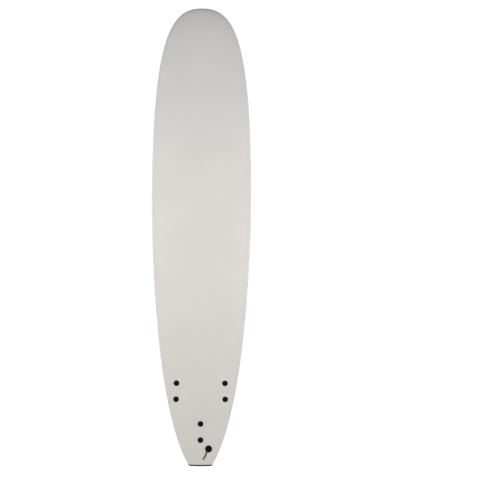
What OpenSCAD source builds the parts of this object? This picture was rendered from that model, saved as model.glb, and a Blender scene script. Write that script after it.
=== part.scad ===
// Soft-topped longboard with three bolt-through fins, standing nose up on its tail end.
// X runs across the board, Y from the deck side (-) to the fin side (+), Z from the tail to the nose.
// The origin is the middle of the flat tail end.

/* [Board] */
// Length from the tail end to the nose tip
board_length = 2743; // [2700:1:2780]
// Width at the widest station
board_width = 602; // [594:1:610]
// Thickness at the thickest station
board_thickness = 85; // [82:1:88]
// Height of the widest station above the tail end
wide_z = 1560; // [1540:10:1580]
// Height of the thickest station above the tail end
thick_z = 1400; // [1350:10:1450]
// Nominal thickness at the tail end
tail_thickness = 46; // [44:1:48]
// Nominal thickness at the nose tip, before the rim rounds over
nose_thickness = 38; // [34:1:42]

/* [Rocker] */
// Height of the station where the bottom stands upright
flat_z = 950; // [900:10:1000]
// How far the tail end lies back from that station, towards the deck side
tail_kick = 42; // [38:1:46]
// How far the nose tip lies back from that station, towards the deck side
nose_kick = 142; // [132:1:152]

/* [Rails] */
// Width of the deck's rounded edge
deck_roll = 150; // [140:5:160]
// Width of the bottom's rounded edge
bottom_roll = 55; // [50:1:60]
// Share of the thickness between the bottom and the rail's widest line
apex_share = 0.42; // [0.4:0.01:0.44]

/* [Skins] */
// Thickness of the foam skin on the deck and rails
deck_skin_t = 5; // [4:0.5:5.5]
// Thickness of the slick bottom sheet
bottom_skin_t = 2; // [1.5:0.5:2.5]
// Width of the foam skin's border on the bottom
border_w = 19; // [17:1:21]
// Height of the rubber bumper across the tail end
bumper_h = 9; // [8:1:10]
// Half the width of the bumper's flat foot
foot_half = 54; // [50:1:58]

/* [Stringers] */
// Distance of each stringer from the centre line
stringer_x = 75; // [65:1:85]
// Thickness of a stringer
stringer_t = 6; // [4:1:8]

/* [Fins] */
// Height of the side fins' middle above the tail end
side_fin_z = 448; // [440:1:456]
// Distance of the side fins from the centre line
side_fin_x = 147; // [144:1:150]
// Angle by which the side fins point in towards the nose
toe_in = 1.3; // [0:0.1:2]
// Angle by which the side fins' blades lean outwards
cant = 3; // [0:0.5:4]
// Height of the centre fin's middle above the tail end
center_fin_z = 203; // [200:1:206]
// Distance between the two bolts of a fin
bolt_pitch = 97; // [94:1:100]
// Length of a fin's base
base_l = 151; // [148:1:154]
// Width of a fin's base
base_w = 36; // [34:1:38]
// Depth of a fin below the bottom sheet
fin_depth = 115; // [105:1:125]

/* [Leash plug] */
// Height of the leash plug above the tail end
plug_z = 101; // [99:1:103]
// Distance of the leash plug from the centre line
plug_x = 49; // [46:1:52]
// Radius of the leash cup's flange
cup_flange_r = 21; // [20:0.5:22]
// Radius of the leash nut's flange
nut_flange_r = 20; // [19:0.5:21]

/* [Hidden] */
$fn = 48;

FOAM_SKIN = "#e6e2dd";
SLICK = "#eaebec";
BLACK = "#191919";
BRASS = "#b5903c";
STEEL = "#b9bcc0";
BLACKENED = "#2a2a2c";
WOOD = "#c9a36b";
FOAM = "#f6f3ea";

half_width = board_width / 2;
tail_half = 76;
// Outline of one side in X and Z: from the bumper to the widest station, then on to the nose tip
TAIL_CURVE = [[tail_half, bumper_h], [280, 360], [half_width, wide_z - 200], [half_width, wide_z]];
NOSE_CURVE = [[half_width, wide_z], [half_width, wide_z + 1020], [190, board_length], [0, board_length]];

// How sharply the rims round over, as a superellipse's power
edge_power = 2.2;
// How the thickness falls away towards each end
tail_foil = 2;
nose_foil = 2.2;

// Fit of the loose pieces
part_gap = 0.3;
face_gap = 0.1;
running_gap = 0.05;

// ---- Outline ----

function bezier(c, t) =
    pow(1 - t, 3) * c[0] + 3 * pow(1 - t, 2) * t * c[1] + 3 * (1 - t) * t * t * c[2] + pow(t, 3) * c[3];
function bezier_slope(c, t) =
    pow(1 - t, 2) * (c[1] - c[0]) + 2 * (1 - t) * t * (c[2] - c[1]) + t * t * (c[3] - c[2]);
// u runs from 0 at the bumper to 1 at the widest station and 2 at the nose tip
function outline(u) = u < 1 ? bezier(TAIL_CURVE, u) : bezier(NOSE_CURVE, u - 1);
function outline_dir(u) =
    let (d = u < 1 ? bezier_slope(TAIL_CURVE, u) : bezier_slope(NOSE_CURVE, u - 1)) d / norm(d);
function inward(u) = let (d = outline_dir(u)) [-d[1], d[0]];
// The outline moved inwards by a distance e
function inset(u, e) = outline(u) + e * inward(u);
// Where the inset outline reaches the height z, by halving the range
function u_at(e, z, low, high, left = 26) =
    let (middle = (low + high) / 2)
    left == 0 ? middle
    : inset(middle, e)[1] < z ? u_at(e, z, middle, high, left - 1)
    : u_at(e, z, low, middle, left - 1);
// Distance of a point from the outline
function edge_distance(x, z) =
    let (u = u_at(0, z, 0, 2))
    (outline(u)[0] - abs(x)) * abs(inward(u)[0]);

// ---- Thickness and rocker ----

function thickness(z) =
    z < thick_z
    ? board_thickness - (board_thickness - tail_thickness) * pow((thick_z - z) / thick_z, tail_foil)
    : board_thickness
      - (board_thickness - nose_thickness) * pow((z - thick_z) / (board_length - thick_z), nose_foil);
// Rise of a rounded edge, from 0 at the rim to 1 at the full width of its roll
function roll(e, width) =
    let (left = max(0, 1 - e / width)) pow(1 - pow(left, edge_power), 1 / edge_power);
function deck_roll_at(e) = roll(e, deck_roll);
function bottom_roll_at(e) = roll(e, bottom_roll);

// The bottom's centre line, placed so that the tail end's middle is at Y = 0
tail_rise = deck_roll_at(tail_half * 0.87);
tail_y = tail_thickness * (apex_share - (apex_share + (1 - apex_share) * tail_rise) / 2)
         + tail_thickness * (1 - apex_share) * tail_rise;
function bottom_line(z) =
    z < flat_z
    ? tail_y + tail_kick * (1 - pow((flat_z - z) / flat_z, 2))
    : tail_y + tail_kick - nose_kick * pow((z - flat_z) / (board_length - flat_z), 2);
function bottom_slope(z) =
    z < flat_z
    ? 2 * tail_kick * (flat_z - z) / pow(flat_z, 2)
    : -2 * nose_kick * (z - flat_z) / pow(board_length - flat_z, 2);
function rail_line(z) = bottom_line(z) - apex_share * thickness(z);
function deck_y(z, e) = rail_line(z) - (1 - apex_share) * thickness(z) * deck_roll_at(e);
function bottom_y(z, e) = rail_line(z) + apex_share * thickness(z) * bottom_roll_at(e);

// ---- Grid of the board's surface ----

// One side's rows from the bottom's centre line, round the rail, to the deck's centre line:
// [side (-1 bottom, 1 deck), distance in from the outline, share of the way on to the centre line]
ROWS = [[-1, border_w, 1], [-1, border_w, 0.14],
        [-1, border_w, 0], [-1, 10, 0], [-1, 4, 0],
        [1, 0, 0],
        [1, 3, 0], [1, 9, 0], [1, 20, 0], [1, 38, 0],
        [1, 38, 0.12], [1, 38, 0.3], [1, 38, 1]];
BORDER_ROW = 2;
INNER_ROW = 9;
ROW_COUNT = len(ROWS);
LOOP = 2 * ROW_COUNT - 2;
STEPS = 32;

function row_roll(row, e) = row[0] > 0 ? deck_roll_at(e) : bottom_roll_at(e);
function sideways(row, layer) = layer * deck_skin_t * sqrt(1 - pow(row_roll(row, row[1]), 2));
function skin_depth(row) = row[0] > 0 ? deck_skin_t : bottom_skin_t;
// layer 0 is the board's outside and layer 1 is the foam core's
ROW_START = [for (layer = [0, 1]) [for (row = ROWS) u_at(row[1] + sideways(row, layer), bumper_h, -0.15, 0.8)]];

function surface_point(layer, i, r, mirror_x) =
    let (row = ROWS[r],
         shift = row[1] + sideways(row, layer),
         start = ROW_START[layer][r],
         u = start + (2 - start) * i / STEPS,
         p = inset(u, shift),
         x = p[0] * (1 - row[2]),
         e = row[1] + (p[0] - x) * abs(inward(u)[0]),
         depth = layer * skin_depth(row) * row_roll(row, e),
         y = row[0] > 0 ? deck_y(p[1], e) + depth : bottom_y(p[1], e) - depth)
    [mirror_x ? -x : x, y, p[1]];
function loop_point(layer, i, j) =
    j < ROW_COUNT ? surface_point(layer, i, j, false) : surface_point(layer, i, LOOP - j, true);
function layer_points(layer) =
    [for (i = [0 : STEPS]) for (j = [0 : LOOP - 1]) loop_point(layer, i, j)];

// At the nose tip the two sides meet, and the rows beyond the inner ones shrink to a point
function folded(j) =
    min(INNER_ROW, max(BORDER_ROW, j < ROW_COUNT ? j : LOOP - j));
function index(layer, i, j) =
    let (k = (j + LOOP) % LOOP)
    layer * (STEPS + 1) * LOOP + i * LOOP + (i == STEPS ? folded(k) : k);
// A four-cornered face as two triangles, split the same way whichever side it is seen from
function halves(f, flip) =
    [for (t = [[f[0], f[1], f[2]], [f[0], f[2], f[3]]])
        if (t[0] != t[1] && t[1] != t[2] && t[2] != t[0]) flip ? [t[2], t[1], t[0]] : t];
function wall(layer, first, last, flip) =
    [for (i = [0 : STEPS - 1]) for (j = [first : last - 1])
        each halves([index(layer, i, j), index(layer, i, j + 1),
                     index(layer, i + 1, j + 1), index(layer, i + 1, j)], flip)];
function edge_strip(j, flip) =
    [for (i = [0 : STEPS - 1])
        each halves([index(0, i, j), index(0, i + 1, j), index(1, i + 1, j), index(1, i, j)], flip)];
function end_strip(first, last) =
    [for (j = [first : last - 1]) [index(1, 0, j), index(1, 0, j + 1), index(0, 0, j + 1), index(0, 0, j)]];

module skin_shell(first, last) {
    polyhedron(
        points = concat(layer_points(0), layer_points(1)),
        faces = concat(wall(0, first, last, false), wall(1, first, last, true),
                       edge_strip(first, false), edge_strip(last, true), end_strip(first, last)),
        convexity = 6);
}

module core_blank() {
    polyhedron(
        points = layer_points(1),
        faces = concat([for (f = wall(1, 0, LOOP, false)) [for (k = f) k - index(1, 0, 0)]],
                       [[for (j = [LOOP - 1 : -1 : 0]) j]]),
        convexity = 6);
}

// ---- Places on the board ----

// Local frame on the bottom sheet: x across, y towards the tail, z straight out of the bottom
module on_bottom(x, z, turn = 0) {
    translate([x, bottom_y(z, edge_distance(x, z)), z])
        rotate([-90 - atan(bottom_slope(z)), 0, 0])
            rotate([0, 0, turn])
                children();
}
// Depth from the bottom to the deck, square to the bottom
function depth_at(x, z) =
    let (e = edge_distance(x, z)) (bottom_y(z, e) - deck_y(z, e)) * cos(atan(bottom_slope(z)));
// A bore that runs from one depth to another, measured from the bottom towards the deck
module bore(r, from, to) {
    translate([0, 0, -to])
        cylinder(r = r, h = to - from);
}

// ---- Fins and their bolts ----

// Each fin: x, z, turn about its own z, lean of the blade
FIN_LEFT = [-side_fin_x, side_fin_z, toe_in, -cant];
FIN_RIGHT = [side_fin_x, side_fin_z, -toe_in, cant];
FIN_CENTER = [0, center_fin_z, 0, 0];
FINS = [FIN_LEFT, FIN_RIGHT, FIN_CENTER];
FRONT = -1;
REAR = 1;

post_r = 6;
post_l = 25;
insert_r = 4;
insert_l = 14;
screw_r = 3;
screw_head_r = 6;
screw_head_h = 3.3;
ferrule_flange_r = 17;
ferrule_flange_h = 4;
ferrule_proud = 1;
ferrule_body_r = 8;
ferrule_l = 20;
head_seat = 3.5;
screw_tip_depth = 15.5;

module at_fin(fin) {
    on_bottom(fin[0], fin[1], fin[2])
        children();
}
module at_bolt(fin, end) {
    at_fin(fin)
        translate([0, end * bolt_pitch / 2, 0])
            children();
}
function bolt_depth(fin, end) = depth_at(fin[0], fin[1] - end * bolt_pitch / 2);

// Where the surface lies at a bolt, below the fin's flat seat
function seat_drop(fin, end) =
    let (z = fin[1] - end * bolt_pitch / 2)
    (bottom_line(fin[1]) - bottom_line(z)) * cos(atan(bottom_slope(fin[1])))
    - end * bolt_pitch / 2 * sin(atan(bottom_slope(fin[1])));
function deck_depth(fin, end) = bolt_depth(fin, end) + seat_drop(fin, end);

// Share of the chord at a share s of the blade's depth
function chord_share(s) = pow(1 - pow(s, 1.5), 0.7);
function blade_rear(s) = 66 + 40 * pow(s, 1.3) - 6 * pow(s, 12);
function foil(c) = 1.9 * (sqrt(c) - c) + 0.35 * c * (1 - c);
blade_root = 123;
blade_t = 7;
blade_tip_t = 3;
blade_foot = 4;
BLADE_SHARES = [0, 0.15, 0.3, 0.45, 0.6, 0.72, 0.82, 0.9, 0.955, 0.985];
CHORD_SHARES = [0.03, 0.12, 0.3, 0.55, 0.8];

module blade() {
    side = len(CHORD_SHARES);
    ring = 2 * side + 2;
    rings = len(BLADE_SHARES);
    points = [for (s = BLADE_SHARES)
        let (chord = blade_root * chord_share(s),
             rear = blade_rear(s),
             half_t = (blade_t + (blade_tip_t - blade_t) * s) / 2 * min(1, chord / 30 + 0.3),
             z = blade_foot + (fin_depth - blade_foot) * s)
        each concat([[0, rear - chord, z]],
                    [for (c = CHORD_SHARES) [half_t * (foil(c) * 2 + 0.1), rear - chord * (1 - c), z]],
                    [[0, rear, z]],
                    [for (k = [side - 1 : -1 : 0])
                        let (c = CHORD_SHARES[k]) [-half_t * (foil(c) * 2 + 0.1), rear - chord * (1 - c), z]])];
    polyhedron(
        points = points,
        faces = concat([[for (k = [0 : ring - 1]) k]],
                       [[for (k = [ring - 1 : -1 : 0]) (rings - 1) * ring + k]],
                       [for (i = [0 : rings - 2]) for (k = [0 : ring - 1])
                           [i * ring + k, (i + 1) * ring + k,
                            (i + 1) * ring + (k + 1) % ring, i * ring + (k + 1) % ring]]),
        convexity = 4);
}

// A plate with round ends, from one height to another
module stadium(l, w, from, to) {
    translate([0, 0, from])
        linear_extrude(to - from) {
            square([w, l - w], center = true);
            for (end = [-1, 1])
                translate([0, end * (l - w) / 2])
                    circle(d = w);
        }
}

module fin(place) {
    color(BLACK)
        at_fin(place) {
            difference() {
                union() {
                    stadium(base_l, base_w, face_gap, 3);
                    stadium(base_l - 4, base_w - 4, 3, 5);
                    stadium(base_l - 12, base_w - 12, 5, 6);
                    rotate([0, place[3], 0])
                        blade();
                    for (end = [FRONT, REAR])
                        translate([0, end * bolt_pitch / 2, -post_l])
                            cylinder(r = post_r, h = post_l + 2);
                }
                for (end = [FRONT, REAR])
                    translate([0, end * bolt_pitch / 2, -post_l - 1])
                        cylinder(r = insert_r, h = insert_l + 1);
            }
        }
}

module fin_inserts(place) {
    color(BRASS)
        for (end = [FRONT, REAR])
            at_bolt(place, end)
                translate([0, 0, -post_l])
                    difference() {
                        cylinder(r = insert_r, h = insert_l);
                        translate([0, 0, -1])
                            cylinder(r = screw_r + running_gap, h = insert_l + 2);
                    }
}

module ferrule(place, end) {
    d = deck_depth(place, end);
    color(BLACK)
        at_bolt(place, end)
            difference() {
                union() {
                    bore(ferrule_flange_r, d + ferrule_proud - ferrule_flange_h, d + ferrule_proud);
                    bore(ferrule_body_r, d - ferrule_l, d);
                }
                bore(screw_head_r + part_gap, d - head_seat, d + 5);
                bore(screw_r + part_gap, d - ferrule_l - 1, d);
            }
}

module fin_screw(place, end) {
    d = deck_depth(place, end);
    top = d - head_seat + face_gap;
    color(BLACKENED)
        at_bolt(place, end)
            difference() {
                union() {
                    bore(screw_head_r, top, top + screw_head_h);
                    bore(screw_r, screw_tip_depth, top + 1);
                }
                translate([0, 0, -top - screw_head_h - 1])
                    cylinder(r = 2.3, h = 3, $fn = 6);
            }
}

module fin_holes() {
    for (f = FINS)
        for (end = [FRONT, REAR])
            at_bolt(f, end)
                bore(post_r + part_gap, -10, deck_depth(f, end) + 20);
}
module ferrule_holes() {
    for (f = FINS)
        for (end = [FRONT, REAR])
            at_bolt(f, end)
                bore(ferrule_body_r + face_gap, deck_depth(f, end) - ferrule_l - face_gap,
                     deck_depth(f, end) + 20);
}
module flange_recesses() {
    for (f = FINS)
        for (end = [FRONT, REAR])
            at_bolt(f, end)
                bore(ferrule_flange_r + part_gap,
                     deck_depth(f, end) + ferrule_proud - ferrule_flange_h - face_gap,
                     deck_depth(f, end) + 20);
}

// ---- Leash plug ----

plug_d = depth_at(plug_x, plug_z);
cup_hollow_r = 11.5;
cup_wall = 3;
cup_hollow_d = 20;
cup_proud = 2;
cup_flange_h = 3.5;
cup_floor = 3;
stem_r = 6;
stem_tip = 4;
nut_sleeve_r = 9.5;
nut_sleeve_l = 16;
nut_flange_h = 3;
bar_r = 2;
bar_depth = 7;

module at_plug() {
    on_bottom(plug_x, plug_z)
        children();
}
module leash_cup() {
    outer_r = cup_hollow_r + cup_wall;
    color(BLACK)
        at_plug()
            difference() {
                union() {
                    bore(cup_flange_r, plug_d + cup_proud - cup_flange_h, plug_d + cup_proud);
                    bore(outer_r, plug_d - cup_hollow_d - cup_floor, plug_d);
                    bore(stem_r, stem_tip, plug_d - cup_hollow_d);
                }
                bore(cup_hollow_r, plug_d - cup_hollow_d, plug_d + 5);
                translate([0, 0, -plug_d + bar_depth])
                    rotate([0, 90, 0])
                        cylinder(r = bar_r, h = 2 * outer_r - 2, center = true);
            }
}
module leash_bar() {
    color(STEEL)
        at_plug()
            translate([0, 0, -plug_d + bar_depth])
                rotate([0, 90, 0])
                    cylinder(r = bar_r, h = 2 * (cup_hollow_r + cup_wall) - 2, center = true);
}
module leash_nut() {
    color(BLACK)
        at_plug()
            difference() {
                union() {
                    bore(nut_flange_r, -nut_flange_h - face_gap, -face_gap);
                    bore(nut_sleeve_r, -face_gap - 1, nut_sleeve_l);
                }
                bore(stem_r + running_gap, 2, nut_sleeve_l + 1);
            }
}
module plug_holes() {
    at_plug() {
        bore(cup_hollow_r + cup_wall + face_gap, plug_d - cup_hollow_d - cup_floor - face_gap, plug_d + 20);
        bore(stem_r + part_gap, 0, plug_d);
        bore(nut_sleeve_r + face_gap, -20, nut_sleeve_l + face_gap);
    }
}
module cup_recess() {
    at_plug()
        bore(cup_flange_r + part_gap, plug_d + cup_proud - cup_flange_h - face_gap, plug_d + 20);
}

// ---- Leash string ----

cord_r = 1.5;
cord_gap = 0.1;
hitch_x = 2;

// A tube along a route, with flat ends and eight sides
module cord_tube(route) {
    sides = 8;
    last = len(route) - 1;
    function along(k) = let (d = route[min(last, k + 1)] - route[max(0, k - 1)]) d / norm(d);
    function across(k) = let (c = cross(along(k), [1, 0.2, 0.1])) c / norm(c);
    function ring_point(k, a) =
        let (s = across(k), t = cross(along(k), s)) route[k] + cord_r * (cos(a) * s + sin(a) * t);
    polyhedron(
        points = [for (k = [0 : last]) for (n = [0 : sides - 1]) ring_point(k, n * 360 / sides)],
        faces = concat([[for (n = [0 : sides - 1]) n]],
                       [[for (n = [sides - 1 : -1 : 0]) last * sides + n]],
                       [for (k = [0 : last - 1]) for (n = [0 : sides - 1])
                           [k * sides + n, (k + 1) * sides + n,
                            (k + 1) * sides + (n + 1) % sides, k * sides + (n + 1) % sides]]),
        convexity = 6);
}

// Routes from the hitch on the bar, over the cup's flange and down the deck to the knot
STRING_A = [[47, -10.5, 100.5], [47, -14, 101], [47, -17, 100.5], [46, -20, 99.5], [44, -22, 97.5],
            [41.5, -23.5, 95], [38.5, -24, 91.5], [35.5, -24, 87], [33.5, -23, 82], [32, -22, 77],
            [30.5, -21.5, 72], [29, -21.5, 66], [26.5, -21.5, 61], [23, -21.5, 56], [19, -22, 51]];
STRING_B = [[51, -10.5, 100.5], [51, -14, 101], [50.5, -17, 100.5], [50, -20, 99], [48, -22.5, 96],
            [45, -23.5, 93], [42, -24, 89], [39, -24, 85], [37, -23, 80.5], [35.5, -22, 75.5],
            [34, -21.5, 70], [32.5, -21, 64.5], [30, -21, 59], [26.5, -21.5, 54], [22.5, -22, 49]];
KNOT = [19.5, -24.5, 47.5];
knot_r = 4.2;

// Two turns round the bar, joined where they come up over it
module leash_hitch() {
    turn_r = bar_r + cord_gap + cord_r;
    color(BLACK)
        at_plug()
            translate([0, 0, -plug_d + bar_depth]) {
                for (side = [-1, 1])
                    translate([side * hitch_x, 0, 0]) {
                        rotate([0, 90, 0])
                            rotate([0, 0, 90])
                                rotate_extrude(angle = 270)
                                    translate([turn_r, 0])
                                        circle(r = cord_r);
                        translate([0, 0, -turn_r])
                            sphere(r = cord_r);
                    }
                translate([0, 0, -turn_r])
                    rotate([0, 90, 0])
                        cylinder(r = cord_r, h = 2 * hitch_x, center = true);
            }
}
module leash_string_a() {
    color(BLACK)
        cord_tube(STRING_A);
}
module leash_string_b() {
    color(BLACK)
        cord_tube(STRING_B);
}
module leash_knot() {
    color(BLACK)
        translate(KNOT)
            sphere(r = knot_r);
}

// ---- Blank, stringers, skins and bumper ----

stringer_foot_z = 620;
stringer_top_z = 2500;
stringer_top_gap = 12;
stringer_bottom_gap = 1;

module stringer_plank(x, outwards) {
    heights = [for (k = [0 : 12]) stringer_foot_z + (stringer_top_z - stringer_foot_z) * k / 12];
    bottom = [for (z = heights) [bottom_line(z) - bottom_skin_t - stringer_bottom_gap + outwards, z]];
    top = [for (k = [12 : -1 : 0])
        let (z = heights[k]) [deck_y(z, deck_roll) + deck_skin_t + stringer_top_gap, z]];
    translate([x - stringer_t / 2, 0, 0])
        rotate([90, 0, 90])
            linear_extrude(stringer_t)
                polygon(concat(bottom, top));
}

module foam_core() {
    color(FOAM)
        difference() {
            core_blank();
            for (side = [-1, 1])
                stringer_plank(side * stringer_x, 10);
            fin_holes();
            ferrule_holes();
            flange_recesses();
            plug_holes();
            cup_recess();
        }
}
module stringer(side) {
    color(WOOD)
        stringer_plank(side * stringer_x, 0);
}
module deck_skin() {
    color(FOAM_SKIN)
        difference() {
            skin_shell(BORDER_ROW, LOOP - BORDER_ROW);
            ferrule_holes();
            flange_recesses();
            plug_holes();
            cup_recess();
        }
}
module bottom_skin() {
    color(SLICK)
        difference() {
            skin_shell(-BORDER_ROW, BORDER_ROW);
            for (f = FINS)
                for (end = [FRONT, REAR])
                    at_bolt(f, end)
                        bore(post_r + part_gap, -10, 10);
            at_plug()
                bore(nut_sleeve_r + face_gap, -10, 10);
        }
}
module tail_bumper() {
    corner = [for (a = [0 : 9 : 90])
        [foot_half + (tail_half - foot_half) * sin(a), bumper_h * (1 - cos(a))]];
    color(BLACK)
        intersection() {
            linear_extrude(bumper_h)
                polygon([for (j = [0 : LOOP - 1]) let (p = loop_point(0, 0, j)) [p[0], p[1]]]);
            translate([0, board_thickness, 0])
                rotate([90, 0, 0])
                    linear_extrude(2 * board_thickness)
                        polygon(concat(corner, [for (k = [len(corner) - 1 : -1 : 0]) [-corner[k][0], corner[k][1]]]));
        }
}

foam_core();
stringer(-1);  // stringer_left
stringer(1);  // stringer_right
deck_skin();
bottom_skin();
tail_bumper();
fin(FIN_LEFT);  // fin_left
fin(FIN_RIGHT);  // fin_right
fin(FIN_CENTER);  // fin_center
fin_inserts(FIN_LEFT);  // fin_inserts_left
fin_inserts(FIN_RIGHT);  // fin_inserts_right
fin_inserts(FIN_CENTER);  // fin_inserts_center
ferrule(FIN_LEFT, FRONT);  // ferrule_left_front
ferrule(FIN_LEFT, REAR);  // ferrule_left_rear
ferrule(FIN_RIGHT, FRONT);  // ferrule_right_front
ferrule(FIN_RIGHT, REAR);  // ferrule_right_rear
ferrule(FIN_CENTER, FRONT);  // ferrule_center_front
ferrule(FIN_CENTER, REAR);  // ferrule_center_rear
fin_screw(FIN_LEFT, FRONT);  // fin_screw_left_front
fin_screw(FIN_LEFT, REAR);  // fin_screw_left_rear
fin_screw(FIN_RIGHT, FRONT);  // fin_screw_right_front
fin_screw(FIN_RIGHT, REAR);  // fin_screw_right_rear
fin_screw(FIN_CENTER, FRONT);  // fin_screw_center_front
fin_screw(FIN_CENTER, REAR);  // fin_screw_center_rear
leash_cup();
leash_bar();
leash_nut();
leash_hitch();
leash_string_a();
leash_string_b();
leash_knot();
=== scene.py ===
import math

import bmesh
import bpy
import numpy as np
from mathutils import Matrix, Vector


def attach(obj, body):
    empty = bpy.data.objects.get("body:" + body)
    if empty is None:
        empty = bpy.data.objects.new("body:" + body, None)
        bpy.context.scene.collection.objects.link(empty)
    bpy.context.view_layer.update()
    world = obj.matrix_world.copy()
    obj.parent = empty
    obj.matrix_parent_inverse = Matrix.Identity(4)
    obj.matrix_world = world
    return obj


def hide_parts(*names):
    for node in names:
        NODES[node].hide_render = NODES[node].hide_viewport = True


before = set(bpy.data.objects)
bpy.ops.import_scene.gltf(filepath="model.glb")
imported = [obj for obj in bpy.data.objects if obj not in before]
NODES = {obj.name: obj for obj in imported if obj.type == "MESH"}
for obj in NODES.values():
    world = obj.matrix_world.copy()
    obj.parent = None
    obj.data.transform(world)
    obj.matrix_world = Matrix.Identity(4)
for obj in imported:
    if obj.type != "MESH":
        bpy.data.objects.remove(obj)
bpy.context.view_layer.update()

SCENE = bpy.context.scene

# Every length below is in millimetres, as in the part's source, and MM takes it to metres.
MM = 0.001


def place_object(name, data):
    obj = bpy.data.objects.new(name, data)
    SCENE.collection.objects.link(obj)
    return obj


# ---- camera

# The camera is on the deck side at about half the board's height. Its place is in metres, its lens and
# sensor in millimetres, and the shift puts the board in the left half of the picture.
CAMERA_PLACE = (0, -8.045, 1.3628)
LENS, SENSOR, SHIFT = 100, 36, 0.0806
CAMERA_ROLL = math.radians(0.24)


def make_camera():
    data = bpy.data.cameras.new("Camera")
    data.type = "PERSP"
    data.sensor_width = SENSOR
    data.lens = LENS
    data.shift_x = SHIFT
    data.clip_start, data.clip_end = 0.1, 200
    data.dof.use_dof = False
    camera = place_object("Camera", data)
    turn = Matrix.Rotation(math.radians(90), 4, "X") @ Matrix.Rotation(CAMERA_ROLL, 4, "Z")
    camera.matrix_world = Matrix.Translation(CAMERA_PLACE) @ turn
    SCENE.camera = camera


make_camera()


# ---- mesh helpers

def add_object(name, verts, faces, angle=35.0, weld=0.0):
    """A mesh object from points in millimetres, with normals made to point outwards."""
    mesh = bpy.data.meshes.new(name)
    points = np.asarray(verts, float) * MM
    mesh.from_pydata([tuple(v) for v in points], [], [list(f) for f in faces])
    bm = bmesh.new()
    bm.from_mesh(mesh)
    if weld:
        bmesh.ops.remove_doubles(bm, verts=bm.verts, dist=weld * MM)
        bmesh.ops.dissolve_degenerate(bm, dist=weld * MM * 0.5, edges=bm.edges)
    bmesh.ops.recalc_face_normals(bm, faces=bm.faces)
    bm.to_mesh(mesh)
    bm.free()
    obj = place_object(name, mesh)
    smooth(obj, angle)
    return obj


def smooth(obj, angle):
    mesh = obj.data
    mesh.shade_smooth()
    mesh.set_sharp_from_angle(angle=math.radians(angle))


def bake(obj):
    """Makes the result of the modifiers the object's own mesh."""
    depsgraph = bpy.context.evaluated_depsgraph_get()
    mesh = bpy.data.meshes.new_from_object(obj.evaluated_get(depsgraph))
    obj.modifiers.clear()
    old, obj.data = obj.data, mesh
    bpy.data.meshes.remove(old)


def combine(obj, others, operation, angle=35.0, solver="MANIFOLD", use_self=False):
    """obj cut by or joined with the other objects, which are used up."""
    for other in others:
        mod = obj.modifiers.new("combine", "BOOLEAN")
        mod.object = other
        mod.operation = operation
        mod.solver = solver
        mod.use_self = use_self
    bake(obj)
    for other in others:
        bpy.data.meshes.remove(other.data)
    smooth(obj, angle)
    return obj


def transform(obj, matrix):
    obj.data.transform(matrix)
    obj.data.update()
    return obj


def distinct(corners):
    """A face's corners without those that repeat."""
    return list(dict.fromkeys(corners))


def loft(name, rings, angle):
    """An object through rings that have as many points each. The first and the last ring are closed by
    strips between the points that face each other."""
    size = len(rings[0])
    faces = []
    for a in range(len(rings) - 1):
        for k in range(size):
            n = (k + 1) % size
            faces.append((a * size + k, a * size + n, (a + 1) * size + n, (a + 1) * size + k))
    for base in (0, (len(rings) - 1) * size):
        for k in range(size // 2):
            face = distinct((base + k, base + k + 1, base + (size - k - 1) % size, base + (size - k) % size))
            if len(face) > 2:
                faces.append(face)
    return add_object(name, [p for ring in rings for p in ring], faces, angle, weld=0.001)


def circle_points(radius, height, count):
    turns = [2 * math.pi * k / count for k in range(count)]
    return [(radius * math.cos(a), radius * math.sin(a), height) for a in turns]


def add_box(name, low, high):
    (a, b, c), (d, e, f) = low, high
    verts = [(a, b, c), (d, b, c), (d, e, c), (a, e, c), (a, b, f), (d, b, f), (d, e, f), (a, e, f)]
    faces = [(0, 3, 2, 1), (4, 5, 6, 7), (0, 1, 5, 4), (1, 2, 6, 5), (2, 3, 7, 6), (3, 0, 4, 7)]
    return add_object(name, verts, faces)


def lathe(name, profile, segments=96, angle=35.0, matrix=None):
    """A closed profile of (radius, height) points turned round Z. A profile that starts and ends at
    radius 0 closes at the axis, and any other one is a ring."""
    ring = abs(profile[0][0]) > 1e-6
    verts, faces, rows = [], [], []
    for r, h in profile:
        if abs(r) < 1e-6:
            rows.append([len(verts)] * segments)
            verts.append((0, 0, h))
        else:
            rows.append(list(range(len(verts), len(verts) + segments)))
            verts += circle_points(r, h, segments)
    pairs = list(zip(rows, rows[1:])) + ([(rows[-1], rows[0])] if ring else [])
    for a, b in pairs:
        for k in range(segments):
            n = (k + 1) % segments
            face = distinct((a[k], a[n], b[n], b[k]))
            if len(face) > 2:
                faces.append(face)
    obj = add_object(name, verts, faces, angle)
    if matrix is not None:
        transform(obj, matrix)
    return obj


def rounded(corner, before, after, radius, steps=4):
    """Points that round a profile's corner off, given the corners before and after it."""
    c, a, b = (np.array(p, float) for p in (corner, before, after))
    u, v = (a - c) / np.linalg.norm(a - c), (b - c) / np.linalg.norm(b - c)
    points = []
    for k in range(steps + 1):
        t = k / steps
        points.append(tuple(c + u * radius * (1 - t) ** 2 + v * radius * t ** 2))
    return points


def round_profile(corners, radii, closed, steps=4):
    """A profile with each corner rounded off by its own radius."""
    points = []
    count = len(corners)
    for k, (corner, radius) in enumerate(zip(corners, radii)):
        if radius <= 0 or (not closed and k in (0, count - 1)):
            points.append(corner)
        else:
            points += rounded(corner, corners[k - 1], corners[(k + 1) % count], radius, steps)
    return points


def run_along(points):
    """The distance along a line of points at each of them."""
    return np.concatenate([[0], np.cumsum(np.linalg.norm(np.diff(points, axis=0), axis=1))])


# ---- the board's surface

# The board's length, half its width and half the tail's, and the height of the bumper
LENGTH, HALF_WIDTH, TAIL_HALF, BUMPER_H = 2743.0, 301.0, 76.0, 9.0
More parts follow.
